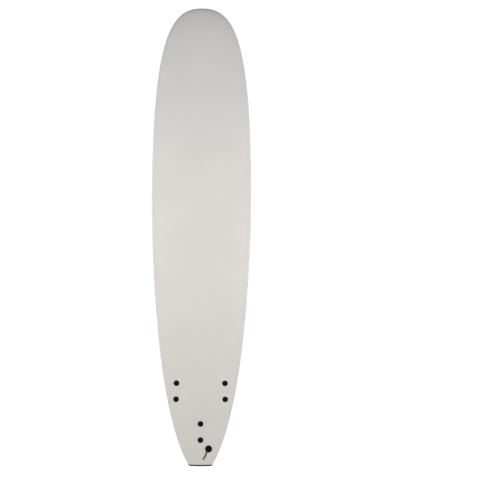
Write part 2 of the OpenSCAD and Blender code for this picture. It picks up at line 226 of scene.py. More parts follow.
# Heights of the widest and the thickest station
WIDE_Z, THICK_Z = 1560.0, 1400.0
THICK, TAIL_THICK, NOSE_THICK = 85.0, 46.0, 38.0
# How the thickness falls away towards each end
TAIL_FOIL, NOSE_FOIL = 2, 2.2
# The rocker is flat at one station and bends towards the deck on both sides of it
FLAT_Z, TAIL_KICK, NOSE_KICK = 950.0, 42.0, 142.0
# The rails: widths of the rolled bands, the share of the thickness on the bottom's side of the rail, and the
# superellipse's power
DECK_ROLL, BOTTOM_ROLL, APEX, POWER = 150.0, 55.0, 0.42, 2.2
# Thickness of the deck foam and of the slick sheet, and the foam border's width on the bottom
DECK_T, BOTTOM_T, BORDER = 5.0, 2.0, 19.0
# The outline of one side in X and Z, as two Bezier curves from the bumper to the nose
TAIL_CURVE = np.array([(TAIL_HALF, BUMPER_H), (280, 360), (HALF_WIDTH, WIDE_Z - 200), (HALF_WIDTH, WIDE_Z)])
NOSE_CURVE = np.array([(HALF_WIDTH, WIDE_Z), (HALF_WIDTH, WIDE_Z + 1020), (190, LENGTH), (0, LENGTH)])


def bezier(c, t):
    t = np.asarray(t, float)[..., None]
    return (1 - t) ** 3 * c[0] + 3 * (1 - t) ** 2 * t * c[1] + 3 * (1 - t) * t * t * c[2] + t ** 3 * c[3]


def bezier_slope(c, t):
    t = np.asarray(t, float)[..., None]
    return (1 - t) ** 2 * (c[1] - c[0]) + 2 * (1 - t) * t * (c[2] - c[1]) + t * t * (c[3] - c[2])


def outline(u):
    """Points of the outline: u is 0 at the tail, 1 at the widest station and 2 at the nose."""
    u = np.asarray(u, float)
    return np.where((u < 1)[..., None], bezier(TAIL_CURVE, u), bezier(NOSE_CURVE, u - 1))


def inward(u):
    """The outline's normal, which points into the board."""
    u = np.asarray(u, float)
    d = np.where((u < 1)[..., None], bezier_slope(TAIL_CURVE, u), bezier_slope(NOSE_CURVE, u - 1))
    d = d / np.linalg.norm(d, axis=-1, keepdims=True)
    return np.stack([-d[..., 1], d[..., 0]], -1)


def inset(u, e):
    return outline(u) + np.asarray(e, float)[..., None] * inward(u)


def u_at(e, z, low, high):
    """Where the outline set in by e is at the height z, found by halving between low and high."""
    e = np.asarray(e, float)
    a, b = np.full(e.shape, float(low)), np.full(e.shape, float(high))
    for _ in range(40):
        middle = (a + b) / 2
        below = inset(middle, e)[..., 1] < z
        a, b = np.where(below, middle, a), np.where(below, b, middle)
    return (a + b) / 2


def edge_distance(x, z):
    """The distance in from the outline of a place near it."""
    u = u_at(np.zeros(()), z, 0, 2)
    return float((outline(u)[0] - abs(x)) * abs(inward(u)[0]))


def thickness(z):
    z = np.asarray(z, float)
    tail = THICK - (THICK - TAIL_THICK) * np.clip((THICK_Z - z) / THICK_Z, 0, None) ** TAIL_FOIL
    past = np.clip((z - THICK_Z) / (LENGTH - THICK_Z), 0, None)
    nose = THICK - (THICK - NOSE_THICK) * past ** NOSE_FOIL
    return np.where(z < THICK_Z, tail, nose)


def roll(e, width):
    """How far the surface has risen, from 0 at the outline to 1 at the inner edge of the rolled band."""
    left = np.clip(1 - np.asarray(e, float) / width, 0, 1)
    return (1 - left ** POWER) ** (1 / POWER)


TAIL_RISE = float(roll(TAIL_HALF * 0.87, DECK_ROLL))
TAIL_Y = TAIL_THICK * (APEX - (APEX + (1 - APEX) * TAIL_RISE) / 2) + TAIL_THICK * (1 - APEX) * TAIL_RISE


def bottom_line(z):
    z = np.asarray(z, float)
    return np.where(z < FLAT_Z, TAIL_Y + TAIL_KICK * (1 - ((FLAT_Z - z) / FLAT_Z) ** 2),
                    TAIL_Y + TAIL_KICK - NOSE_KICK * ((z - FLAT_Z) / (LENGTH - FLAT_Z)) ** 2)


def bottom_slope(z):
    return 2 * TAIL_KICK * (FLAT_Z - z) / FLAT_Z ** 2


def rail_line(z):
    return bottom_line(z) - APEX * thickness(z)


def deck_y(z, e):
    return rail_line(z) - (1 - APEX) * thickness(z) * roll(e, DECK_ROLL)


def bottom_y(z, e):
    return rail_line(z) + APEX * thickness(z) * roll(e, BOTTOM_ROLL)


def on_bottom(x, z, turn=0.0):
    """The local frame on the bottom sheet: x across, y towards the tail, z straight out of the bottom."""
    lean = math.degrees(math.atan(bottom_slope(z)))
    return (Matrix.Translation(Vector((x, float(bottom_y(z, edge_distance(x, z))), z)) * MM)
            @ Matrix.Rotation(math.radians(-90 - lean), 4, "X") @ Matrix.Rotation(math.radians(turn), 4, "Z"))


def depth_at(x, z):
    """The board's depth under a place, square to the bottom."""
    e = edge_distance(x, z)
    return float(bottom_y(z, e) - deck_y(z, e)) * math.cos(math.atan(bottom_slope(z)))


# ---- places of the hardware

BOLT_PITCH = 97.0
FRONT, REAR = -1, 1
SIDE_FIN_X, SIDE_FIN_Z, CENTER_FIN_Z = 147.0, 448.0, 203.0
TOE_IN, CANT = 1.3, 3.0
# Each fin's place in X and Z, and the degrees by which it turns and leans
FINS = {"left": (-SIDE_FIN_X, SIDE_FIN_Z, TOE_IN, -CANT), "right": (SIDE_FIN_X, SIDE_FIN_Z, -TOE_IN, CANT),
        "center": (0.0, CENTER_FIN_Z, 0.0, 0.0)}
PLUG_X, PLUG_Z = 49.0, 101.0
BAR_R, BAR_DEPTH, BAR_HALF = 2.0, 7.0, 13.5
FLANGE_R, CUP_FLANGE_R = 17.0, 21.0
PLUG_D = depth_at(PLUG_X, PLUG_Z)


def fin_frame(place):
    x, z, turn, _ = FINS[place]
    return on_bottom(x, z, turn)


def bolt_frame(place, end):
    return fin_frame(place) @ Matrix.Translation((0, end * BOLT_PITCH / 2 * MM, 0))


def deck_depth(place, end):
    """The depth of the deck under a bolt, along the bolt's own line."""
    x, z0, _, _ = FINS[place]
    z = z0 - end * BOLT_PITCH / 2
    lean = math.atan(bottom_slope(z0))
    drop = float(bottom_line(z0) - bottom_line(z)) * math.cos(lean) - end * BOLT_PITCH / 2 * math.sin(lean)
    return depth_at(x, z) + drop


def deck_frame(matrix, depth):
    """A frame on the deck above a place on the bottom: z straight out of the deck, y towards the nose."""
    return matrix @ Matrix.Translation((0, 0, -depth * MM)) @ Matrix.Rotation(math.pi, 4, "X")


BOLTS = {(place, end): deck_frame(bolt_frame(place, end), deck_depth(place, end))
         for place in FINS for end in (FRONT, REAR)}
PLUG_FRAME = on_bottom(PLUG_X, PLUG_Z)
PLUG_DECK = deck_frame(PLUG_FRAME, PLUG_D)
END_NAME = {FRONT: "front", REAR: "rear"}


# ---- materials

class Nodes:
    """Short names for building a node tree."""

    def __init__(self, tree):
        self.tree = tree

    def node(self, kind, **values):
        """A node with values for its inputs, or for its settings where no input has that name."""
        n = self.tree.nodes.new("ShaderNode" + kind)
        for key, value in values.items():
            spaced = key.replace("_", " ")
            if spaced in n.inputs.keys():
                n.inputs[spaced].default_value = value
            else:
                setattr(n, key, value)
        return n

    def link(self, a, b):
        self.tree.links.new(a, b)

    def split(self, vector):
        n = self.node("SeparateXYZ")
        self.link(vector, n.inputs["Vector"])
        return n.outputs

    def remap(self, value, low, high, to_low, to_high, curve="LINEAR"):
        n = self.node("MapRange", From_Min=low, From_Max=high, To_Min=to_low, To_Max=to_high,
                      interpolation_type=curve)
        self.link(value, n.inputs["Value"])
        return n.outputs["Result"]

    def math(self, operation, *values):
        n = self.node("Math", operation=operation)
        for socket, value in zip(n.inputs, values):
            if isinstance(value, (int, float)):
                socket.default_value = value
            else:
                self.link(value, socket)
        return n.outputs[0]

    def mix(self, factor, a, b, blend="MIX"):
        n = self.node("Mix", data_type="RGBA", blend_type=blend)
        for socket, value in ((n.inputs["Factor"], factor), (n.inputs[6], a), (n.inputs[7], b)):
            if isinstance(value, float):
                socket.default_value = value
            elif isinstance(value, tuple):
                socket.default_value = (*value, 1)
            else:
                self.link(value, socket)
        return n.outputs[2]


class Paint(Nodes):
    """A material with one principled shader."""

    def __init__(self, name, colour, roughness, metallic=0.0, **sockets):
        self.material = bpy.data.materials.new(name)
        self.material.use_nodes = True
        super().__init__(self.material.node_tree)
        self.shader = self.tree.nodes["Principled BSDF"]
        self.shader.inputs["Base Color"].default_value = (*colour, 1)
        self.shader.inputs["Roughness"].default_value = roughness
        self.shader.inputs["Metallic"].default_value = metallic
        for key, value in sockets.items():
            self.shader.inputs[key.replace("_", " ")].default_value = value
        self.place = self.node("TexCoord").outputs["Object"]
        self.normal = None

    def stretched(self, x, y, z):
        m = self.node("Mapping", Scale=(x, y, z))
        self.link(self.place, m.inputs["Vector"])
        return m.outputs["Vector"]

    def texture(self, kind, output, vector, **values):
        n = self.node(kind, **values)
        self.link(vector or self.place, n.inputs["Vector"])
        return n.outputs[output]

    def noise(self, scale, detail=2.0, rough=0.5, vector=None, distortion=0.0):
        return self.texture("TexNoise", "Fac", vector, Scale=scale, Detail=detail, Roughness=rough,
                            Distortion=distortion)

    def grain(self, scale, to_low=0, to_high=1, detail=3):
        """A noise stretched to run from one value to the other."""
        return self.remap(self.noise(scale, detail), 0.3, 0.7, to_low, to_high)

    def cells(self, scale, feature):
        return self.texture("TexVoronoi", "Distance", None, Scale=scale, Randomness=1.0, feature=feature)

    def colour(self, output):
        self.link(output, self.shader.inputs["Base Color"])

    def roughness(self, output):
        self.link(output, self.shader.inputs["Roughness"])

    def bump(self, height, distance, strength=1.0):
        n = self.node("Bump", Distance=distance, Strength=strength)
        self.link(height, n.inputs["Height"])
        if self.normal is not None:
            self.link(self.normal, n.inputs["Normal"])
        self.normal = n.outputs["Normal"]
        self.link(self.normal, self.shader.inputs["Normal"])


def tint(colour, factor):
    return tuple(min(1.0, c * factor) for c in colour)


def deck_foam_material():
    base = (0.792, 0.757, 0.729)
    p = Paint("deck_foam", base, 0.72, Sheen_Weight=0.08, Sheen_Roughness=0.6)
    broad = p.remap(p.noise(5.0, 3), 0.35, 0.65, 0, 1)
    fine = p.grain(160.0)
    body = p.mix(broad, tint(base, 0.975), tint(base, 1.02))
    speck = p.mix(fine, tint(base, 0.985), tint(base, 1.015))
    up = p.remap(p.split(p.place)["Z"], 1.8, 2.4, 0, 1)
    # Painted light: the foam's colour turns a little cooler towards the nose, standing in for cooler light
    # falling on the board's upper part
    p.colour(p.mix(up, p.mix(0.4, body, speck), (0.99, 1.02, 1.035), "MULTIPLY"))
    p.roughness(p.remap(fine, 0, 1, 0.66, 0.78))
    p.bump(p.noise(16.0, 2), 0.0006, 0.5)
    p.bump(p.cells(620.0, "SMOOTH_F1"), 0.00018, 0.55)
    p.bump(p.noise(1500.0, 2), 0.00006, 0.5)
    return p.material


def slick_material():
    base = (0.775, 0.777, 0.783)
    p = Paint("slick_sheet", base, 0.5, Specular_IOR_Level=0.3)
    broad = p.remap(p.noise(4.0, 3), 0.35, 0.65, 0, 1)
    p.colour(p.mix(broad, tint(base, 0.982), tint(base, 1.012)))
    scratch = p.remap(p.noise(1.0, 4, 0.6, p.stretched(900, 900, 9)), 0.55, 0.75, 0, 1)
    worn = p.grain(30.0, 0.46, 0.56)
    p.roughness(p.math("ADD", worn, p.math("MULTIPLY", scratch, 0.1)))
    p.bump(p.noise(28.0, 2), 0.0005, 0.35)
    p.bump(p.noise(420.0, 2), 0.00004, 0.5)
    p.bump(scratch, 0.00003, 0.4)
    return p.material


def bead_foam_material():
    base = (0.93, 0.92, 0.88)
    p = Paint("bead_foam", base, 0.8)
    edges = p.cells(260.0, "DISTANCE_TO_EDGE")
    crease_and_shade = p.remap(edges, 0.0, 0.12, 0, 1)
    # Painted shade: the foam is darkened along the creases between its beads, where shade falls; the same
    # mask also dents the creases
    p.colour(p.mix(crease_and_shade, tint(base, 0.86), base))
    p.bump(crease_and_shade, 0.0004, 0.7)
    p.bump(p.noise(900.0, 2), 0.00008, 0.5)
    return p.material


def wood_material():
    p = Paint("stringer_wood", (0.5, 0.34, 0.19), 0.62)
    grain = p.noise(1.0, 5, 0.6, p.stretched(160, 160, 5), 0.6)
    rings = p.texture("TexWave", "Fac", p.stretched(130, 60, 3), Scale=1.0, Distortion=3.0, Detail=3,
                      Detail_Scale=1.5, bands_direction="X")
    both = p.math("MULTIPLY", p.remap(grain, 0.3, 0.7, 0, 1), p.remap(rings, 0, 1, 0.6, 1))
    p.colour(p.mix(both, (0.36, 0.22, 0.11), (0.66, 0.48, 0.29)))
    p.roughness(p.remap(grain, 0.3, 0.7, 0.7, 0.52))
    p.bump(grain, 0.0003, 0.6)
    return p.material


def rubber_material():
    base = (0.007, 0.007, 0.0075)
    p = Paint("bumper_rubber", base, 0.55, Specular_IOR_Level=0.12)
    fine = p.grain(260.0)
    p.colour(p.mix(fine, tint(base, 0.7), tint(base, 1.5)))
    p.roughness(p.grain(60.0, 0.45, 0.66))
    p.bump(p.noise(1300.0, 2), 0.00006, 0.6)
    p.bump(p.noise(90.0, 2), 0.0002, 0.4)
    return p.material


def moulded_material(name, base, low, high, specular):
    p = Paint(name, base, (low + high) / 2, Specular_IOR_Level=specular)
    fine = p.grain(300.0)
    p.colour(p.mix(fine, tint(base, 0.8), tint(base, 1.25)))
    p.roughness(p.grain(45.0, low, high, 4))
    p.bump(p.noise(1800.0, 2), 0.00002, 0.35)
    p.bump(p.noise(30.0, 2), 0.0001, 0.08)
    return p.material


def metal_material(name, base, low, high, direction):
    p = Paint(name, base, (low + high) / 2, metallic=1.0)
    lines = p.noise(1.0, 3, 0.6, p.stretched(*direction))
    p.colour(p.mix(p.remap(lines, 0.3, 0.7, 0, 1), tint(base, 0.88), tint(base, 1.08)))
    p.roughness(p.remap(lines, 0.3, 0.7, low, high))
    p.bump(lines, 0.00002, 0.5)
    return p.material


def cord_material():
    base = (0.009, 0.0085, 0.0085)
    p = Paint("cord_braid", base, 0.75, Sheen_Weight=0.04, Sheen_Roughness=0.5, Specular_IOR_Level=0.2)
    fibre = p.grain(2600.0)
    p.colour(p.mix(fibre, tint(base, 0.6), tint(base, 2.0)))
    p.roughness(p.remap(fibre, 0, 1, 0.62, 0.82))
    p.bump(p.noise(3200.0, 2), 0.00008, 0.6)
    return p.material


def print_material():
    base = (0.02, 0.02, 0.022)
    p = Paint("vinyl_print", base, 0.4)
    worn = p.remap(p.noise(120.0, 3), 0.35, 0.7, 0, 1)
    p.colour(p.mix(worn, base, tint(base, 2.2)))
    p.roughness(p.remap(worn, 0, 1, 0.34, 0.5))
    p.bump(p.noise(900.0, 2), 0.00003, 0.4)
    return p.material


DECK_FOAM = deck_foam_material()
SLICK = slick_material()
BEAD_FOAM = bead_foam_material()
WOOD = wood_material()
RUBBER = rubber_material()
FIN_PLASTIC = moulded_material("fin_plastic", (0.008, 0.008, 0.009), 0.2, 0.32, 0.32)
BLACK_PLASTIC = moulded_material("black_plastic", (0.005, 0.005, 0.0055), 0.36, 0.5, 0.18)
BRASS = metal_material("insert_brass", (0.72, 0.52, 0.24), 0.24, 0.4, (1500, 200, 1500))
STEEL = metal_material("bar_steel", (0.09, 0.09, 0.094), 0.3, 0.45, (60, 1800, 1800))
BLACKENED = metal_material("blackened_steel", (0.022, 0.022, 0.024), 0.34, 0.5, (900, 900, 900))
CORD = cord_material()
PRINT = print_material()


def paint(obj, material):
    obj.data.materials.clear()
    obj.data.materials.append(material)


def settle(obj, material, body, slot, *nodes):
    """Gives a finished piece its material and body, and hides the CAD nodes that it stands for. Its slot
    argument is not used.
    """
    paint(obj, material)
    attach(obj, body)
    if nodes:
        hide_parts(*nodes)
    return obj


def repaint(node, material):
    obj = NODES[node]
    for slot in obj.material_slots:
        slot.material = material


# ---- leash string

CORD_R = 1.5
HITCH_X = 2.0
# The strands' routes from the hitch on the bar, over the cup's flange and down to the knot
STRING_A = [(47, -10.5, 100.5), (47, -14, 101), (47, -17, 100.5), (46, -20, 99.5), (44, -22, 97.5),
            (41.5, -23.5, 95), (38.5, -24, 91.5), (35.5, -24, 87), (33.5, -23, 82), (32, -22, 77),
            (30.5, -21.5, 72), (29, -21.5, 66), (26.5, -21.5, 61), (23, -21.5, 56), (19, -22, 51)]
STRING_B = [(51, -10.5, 100.5), (51, -14, 101), (50.5, -17, 100.5), (50, -20, 99), (48, -22.5, 96),
            (45, -23.5, 93), (42, -24, 89), (39, -24, 85), (37, -23, 80.5), (35.5, -22, 75.5),
            (34, -21.5, 70), (32.5, -21, 64.5), (30, -21, 59), (26.5, -21.5, 54), (22.5, -22, 49)]
KNOT = (19.5, -24.5, 47.5)


def smooth_route(points, step=0.2):
    """A smooth curve through the points, sampled at even steps."""
    p = np.array(points, float)
    p = np.vstack([2 * p[0] - p[1], p, 2 * p[-1] - p[-2]])
    out = []
    for k in range(1, len(p) - 2):
        a, b, c, d = p[k - 1:k + 3]
        for t in np.linspace(0, 1, 16, endpoint=False):
            out.append(0.5 * (2 * b + (c - a) * t + (2 * a - 5 * b + 4 * c - d) * t ** 2
                              + (3 * b - a - 3 * c + d) * t ** 3))
    out.append(p[-2])
    out = np.array(out)
    run = run_along(out)
    even = np.linspace(0, run[-1], max(2, int(run[-1] / step)))
    return np.stack([np.interp(even, run, out[:, k]) for k in range(3)], 1)


def braided_tube(name, route, radius, closed=False, relief=0.24, pitch=9.0, sides=48,
                 round_ends=(False, False)):
    """A tube along a route whose surface is raised in the crossed strands of a braid."""
    p = np.asarray(route, float)
    count = len(p)
    if closed:
        tangent = np.roll(p, -1, 0) - np.roll(p, 1, 0)
    else:
        tangent = np.gradient(p, axis=0)
    tangent /= np.linalg.norm(tangent, axis=1, keepdims=True)
    first = np.cross(tangent[0], (1, 0.2, 0.1))
    normal = [first / np.linalg.norm(first)]
    for k in range(1, count):
        n = normal[-1] - tangent[k] * (normal[-1] @ tangent[k])
        normal.append(n / np.linalg.norm(n))
    normal = np.array(normal)
    side = np.cross(tangent, normal)
    run = run_along(p)
    total = run[-1]
    verts = []
    for k in range(count):
        size = 1.0
        for far, wanted in ((run[k], round_ends[0]), (total - run[k], round_ends[1])):
            if wanted and far < radius * 0.7:
                size = min(size, 0.45 + 0.55 * math.sqrt(1 - (1 - far / (radius * 0.7)) ** 2))
        for s in range(sides):
            a = 2 * math.pi * s / sides
            turn = 2 * math.pi * run[k] / pitch
            crossed = max(abs(math.sin(4 * a + 4 * turn)), abs(math.cos(4 * a - 4 * turn)))
            weave = 2.4 * crossed - 1.4
            r = (radius - relief + relief * weave) * size
            verts.append(p[k] + r * (math.cos(a) * normal[k] + math.sin(a) * side[k]))
    faces = []
    for k in range(count if closed else count - 1):
        m = (k + 1) % count
        for s in range(sides):
            t = (s + 1) % sides
            faces.append((k * sides + s, k * sides + t, m * sides + t, m * sides + s))
    if not closed:
        faces.append(tuple(range(sides)))
        faces.append(tuple((count - 1) * sides + s for s in range(sides)))
    return add_object(name, verts, faces, 60)


def make_hitch():
    """Two turns of the string round the bar, joined where they come up over it."""
    turn_r = BAR_R + 0.1 + CORD_R
    start, sweep, steps, crossing = 90, 255, 44, 12
    turn = []
    for k in range(steps + 1):
        a = math.radians(start + sweep * k / steps)
        turn.append((turn_r * math.sin(a), -turn_r * math.cos(a)))
    points = [(-HITCH_X, y, z) for y, z in turn]
    for k in range(1, crossing):
        t = k / crossing
        lift = math.sin(math.pi * t)
        points.append((-HITCH_X + 2 * HITCH_X * t, turn[-1][0] + 0.9 * lift, turn[-1][1] - 0.35 * lift))
    points += [(HITCH_X, y, z) for y, z in turn[::-1]]
    obj = braided_tube("leash_hitch_braid", smooth_route(points), CORD_R)
    return transform(obj, PLUG_FRAME @ Matrix.Translation((0, 0, (BAR_DEPTH - PLUG_D) * MM)))


def make_knot():
    """An overhand knot pulled tight, with the string's two cut ends coming out of it."""
    points = []
    steps = 260
    for k in range(steps):
        t = 2 * math.pi * k / steps
        r = 2.15 + 1.25 * math.cos(3 * t)
        points.append((r * math.cos(2 * t), r * math.sin(2 * t), 1.55 * math.sin(3 * t)))
    body = braided_tube("leash_knot_braid", points, 1.5, closed=True, relief=0.2)
    lie = Matrix.Rotation(math.radians(62), 4, "Y") @ Matrix.Rotation(math.radians(20), 4, "X")
    transform(body, Matrix.Translation(Vector(KNOT) * MM) @ lie)
    ends = []
    for number, (dx, dz) in enumerate(((-1.6, -0.6), (1.5, -1.6))):
        tail = [(KNOT[0] + dx * 0.2, KNOT[1] + 0.5, KNOT[2] + dz * 0.2),
                (KNOT[0] + dx, KNOT[1] + 1.0, KNOT[2] - 2.4 + dz * 0.3),
                (KNOT[0] + dx * 1.6, KNOT[1] + 1.6, KNOT[2] - 4.6 + dz * 0.5)]
        ends.append(braided_tube("leash_knot_end_%d" % number, smooth_route(tail, 0.3), 1.4,
                                 round_ends=(False, True)))
    combine(body, ends, "UNION", solver="EXACT", use_self=True)
    merge = body.modifiers.new("voxels", "REMESH")
    merge.mode = "VOXEL"
    merge.voxel_size = 0.16 * MM
    merge.use_smooth_shade = True
    bake(body)
    smooth(body, 80)
    return body


def make_string():
    knot = settle(make_knot(), CORD, "board", "cord", "leash_knot")
    hitch = settle(make_hitch(), CORD, "board", "cord", "leash_hitch")
    strands = (("leash_string_a", STRING_A, [knot]), ("leash_string_b", STRING_B, [hitch]))
    for name, points, companions in strands:
        end = np.array(points[-1], float)
        buried = end + (np.array(KNOT) - end) * 0.45
        route = smooth_route(points + [tuple(buried)])
        braid = braided_tube(name + "_braid", route, CORD_R, round_ends=(False, True))
        piece = settle(braid, CORD, "board", "cord", name)


make_string()


# ---- skins

# Steps along the outline, and how far in from it the deck's rail rows reach
STEPS, RAIL_REACH = 300, 38


def even_spacing():
    """Shares of the way from the tail to the nose that give even steps along the outline."""
    u = np.linspace(0, 2, 4001)
    run = run_along(outline(u))
    return np.interp(np.linspace(0, run[-1], STEPS + 1), run, u) / 2


def rim_distances(width, reach, count):
    """Distances in from the outline that space points evenly round a rolled edge."""
    end = math.acos((1 - reach / width) ** (POWER / 2))
    return [width * (1 - math.cos(end * k / count) ** (2 / POWER)) for k in range(count + 1)]


BOTTOM_RIM = rim_distances(BOTTOM_ROLL, BORDER, 9)
DECK_RIM = rim_distances(DECK_ROLL, RAIL_REACH, 10)
DECK_SHARES = [1 - (1 - k / 30) ** 1.25 for k in range(1, 31)]
BOTTOM_SHARES = [1 - (1 - k / 18) ** 1.5 for k in range(1, 19)]

# Rows of points: the side (1 for the deck, -1 for the bottom), the distance in from the outline, the share
# of the way on to the centre line, and the dip of the surface
DECK_ROWS = ([(-1, BORDER, 0, 0.7), (-1, BORDER - 0.5, 0, 0.25), (-1, BORDER - 1.3, 0, 0.0)]
             + [(-1, e, 0, 0.0) for e in BOTTOM_RIM[-2:0:-1]]
             + [(1, e, 0, 0.0) for e in DECK_RIM]
             + [(1, RAIL_REACH, s, 0.0) for s in DECK_SHARES])
BOTTOM_ROWS = ([(-1, BORDER, 0, 0.45), (-1, BORDER, 0.004, 0.12), (-1, BORDER, 0.01, 0.0)]
               + [(-1, BORDER, s, 0.0) for s in BOTTOM_SHARES if s > 0.02])

RIM = outline(np.linspace(0, 2, 1600))
CROWN_HALF = 40.0


def crowned(x):
    """The distance from the centre line, rounded off where the two sides of the deck meet."""
    x = np.abs(x)
    return np.where(x < CROWN_HALF, (x * x + CROWN_HALF ** 2) / (2 * CROWN_HALF), x)


def rim_distance(x, z):
    """The distance in plan from each point of one row to the board's outline."""
    dx = crowned(x)[:, None] - RIM[None, :, 0]
    dz = z[:, None] - RIM[None, :, 1]
    return np.sqrt((dx * dx + dz * dz).min(1))


def skin_points(rows, layer):
    """One half of a skin's outer (0) or inner (1) face, as an array of steps by rows by 3."""
    side = np.array([r[0] for r in rows], float)
    e0 = np.array([r[1] for r in rows], float)
    share = np.array([r[2] for r in rows], float)
    dip = np.array([r[3] for r in rows], float)
    rise = np.where(side > 0, roll(e0, DECK_ROLL), roll(e0, BOTTOM_ROLL))
    shift = e0 + layer * DECK_T * np.sqrt(np.clip(1 - rise ** 2, 0, 1))
    start = u_at(shift, BUMPER_H, -0.15, 0.8)
    u = start + (2 - start) * even_spacing()[:, None]
    p = inset(u, np.broadcast_to(shift, u.shape))
    x = p[..., 0] * (1 - share)
    e = e0 + (p[..., 0] - x) * np.abs(inward(u)[..., 0])
    z = p[..., 1]
    top = side > 0
    spread = top & (share > 0)
    for line in range(len(e)):
        e[line, spread] = rim_distance(x[line, spread], z[line, spread])
    rolled = np.where(top, roll(e, DECK_ROLL), roll(e, BOTTOM_ROLL))
    depth = layer * np.where(top, DECK_T, BOTTOM_T) * rolled
    if layer == 0:
        depth = depth + dip
    y = np.where(top, deck_y(z, e) + depth, bottom_y(z, e) - depth)
    return np.stack([x, y, z], -1)


# How far the deck foam is pressed in round a flange, how far outside the flange it is free again, the width
# over which it rises, and how near to the surface a point is to be moved
PRESS, PRESS_REACH, PRESS_BLEND, PRESS_SIDE = 0.35, 26, 23, 14


def press_in(pts):
    """Lets the deck foam down evenly round each flange, as the flange pulls it in."""
    places = [(m, FLANGE_R) for m in BOLTS.values()] + [(PLUG_DECK, CUP_FLANGE_R)]
    for matrix, radius in places:
        at = np.array(matrix.translation) / MM
        out = np.array(matrix.to_3x3().col[2])
        rel = pts - at
        height = rel @ out
        r = np.linalg.norm(rel - height[..., None] * out, axis=-1)
        t = np.clip((radius + PRESS_REACH - r) / PRESS_BLEND, 0, 1)
        weight = t * t * (3 - 2 * t) * (np.abs(height) < PRESS_SIDE)
        pts = pts + out * (weight * (-PRESS - height))[..., None]
    return pts


def skin_mesh(name, rows, dimples=False):
    outer, inner = skin_points(rows, 0), skin_points(rows, 1)
    steps, count = outer.shape[0], outer.shape[1]
    verts, faces = [], []
    for mirror in (1, -1):
        base = len(verts)
        for layer in (outer, inner):
            flat = layer.reshape(-1, 3) * (mirror, 1, 1)
            if dimples and layer is outer:
                flat = press_in(flat)
            verts += list(flat)

        def at(layer, i, j):
            return base + layer * steps * count + i * count + j

        for i in range(steps - 1):
            for j in range(count - 1):
                for layer in (0, 1):
                    faces.append((at(layer, i, j), at(layer, i, j + 1), at(layer, i + 1, j + 1),
                                  at(layer, i + 1, j)))
            faces.append((at(0, i, 0), at(0, i + 1, 0), at(1, i + 1, 0), at(1, i, 0)))
        for j in range(count - 1):
            faces.append((at(0, 0, j), at(0, 0, j + 1), at(1, 0, j + 1), at(1, 0, j)))
    return add_object(name, verts, faces, 40, weld=0.002)


def drill(matrix, radius, low, high, segments=96):
    """A round cutter along a frame's z, from one height to another."""
    return lathe("drill", [(0, low), (radius, low), (radius, high), (0, high)], segments, matrix=matrix)


def seat_cutter(matrix, body_r, body_depth, flange_r, flange_depth):
    """A cutter for a flanged piece let into the deck, a little larger than the piece."""
    body, flange, over = body_r + 0.15, flange_r + 0.35, 20
    return lathe("drill", [(0, -body_depth), (body, -body_depth), (body, -flange_depth),
                           (flange, -flange_depth), (flange, over), (0, over)], matrix=matrix)


def make_deck():
    obj = skin_mesh("deck_foam_sheet", DECK_ROWS, dimples=True)
    cutters = [seat_cutter(matrix, 8.0, 30, FLANGE_R, 3.1) for matrix in BOLTS.values()]
    cutters.append(seat_cutter(PLUG_DECK, 14.5, 36, CUP_FLANGE_R, 1.6))
    combine(obj, cutters, "DIFFERENCE", 40)
    settle(obj, DECK_FOAM, "board", "foam_skin", "deck_skin")


def make_bottom():
    obj = skin_mesh("bottom_slick_sheet", BOTTOM_ROWS)
    post_hole, nut_hole, reach = 6.3, 9.6, 10
    cutters = [drill(bolt_frame(place, end), post_hole, -reach, reach) for place, end in BOLTS]
    cutters.append(drill(PLUG_FRAME, nut_hole, -reach, reach))
    combine(obj, cutters, "DIFFERENCE", 40)
    settle(obj, SLICK, "board", "slick", "bottom_skin")


make_deck()
make_bottom()


# ---- tail bumper

FOOT_HALF = 54.0
# The strip's rings from top to bottom: how far each is set in, the share of the strip's height that it is
# at, and a step down from there, or up if it is negative
BUMPER_RINGS = [(0.9, 1.0, 0.0), (0.35, 1.0, 0.12), (0.0, 1.0, 0.5), (0.0, 0.5, 0.0), (0.0, 0.0, -1.7),
                (0.12, 0.0, -1.0), (0.5, 0.0, -0.45), (1.1, 0.0, -0.12), (1.8, 0.0, 0.0)]


def make_bumper():
    """The strip across the tail end: its rings follow the board's section, and its foot rounds up at both
    ends."""
    along = 64
    slope = abs(float(inward(0.0)[0]))
    xs = [TAIL_HALF * math.sin(math.pi * (k / along - 0.5)) for k in range(along + 1)]

    def section(x, shrink):
        inner = TAIL_HALF - shrink / slope
        e = max(0.0, (inner - abs(x) * inner / TAIL_HALF) * slope)
        middle = float(rail_line(BUMPER_H))
        low, high = float(deck_y(BUMPER_H, e)) + shrink, float(bottom_y(BUMPER_H, e)) - shrink
        return x * inner / TAIL_HALF, min(low, middle), max(high, middle)

    def foot(x):
        reach = min(1.0, max(0.0, (abs(x) - FOOT_HALF) / (TAIL_HALF - FOOT_HALF)))
        return BUMPER_H * (1 - math.cos(math.asin(reach)))

    rings = []
    for shrink, share, drop in BUMPER_RINGS:
        ring = []
        for side in (0, 1):
            order = range(along + 1) if side == 0 else range(along - 1, 0, -1)
            for k in order:
                x, low, high = section(xs[k], shrink)
                z0 = foot(x)
                height = BUMPER_H - z0
                step = math.copysign(min(abs(drop), height * 0.45), drop)
                ring.append((x, low if side == 0 else high, z0 + height * share - step))
        rings.append(ring)
    obj = loft("tail_bumper_strip", rings, 50)
    settle(obj, RUBBER, "board", "bumper_rubber", "tail_bumper")


make_bumper()


# ---- fins

BASE_L, BASE_W, FIN_DEPTH = 151.0, 36.0, 115.0
# The blade's chord at its root, its thickness there and at the tip, the height it starts from, and its
# tip's radius
BLADE_ROOT, BLADE_T, TIP_T, BLADE_FOOT, TIP_R = 123.0, 7.0, 3.0, 4.0, 6.0
# The base's straight side, its full height and the fillet between it and the blade
PAD_SIDE, PAD_TOP, FILLET = 2.0, 6.0, 3.6
POST_R, POST_L, INSERT_R, INSERT_L = 6.0, 25.0, 4.0, 14.0
# Steps across a section from its front to its rear
ACROSS = 44


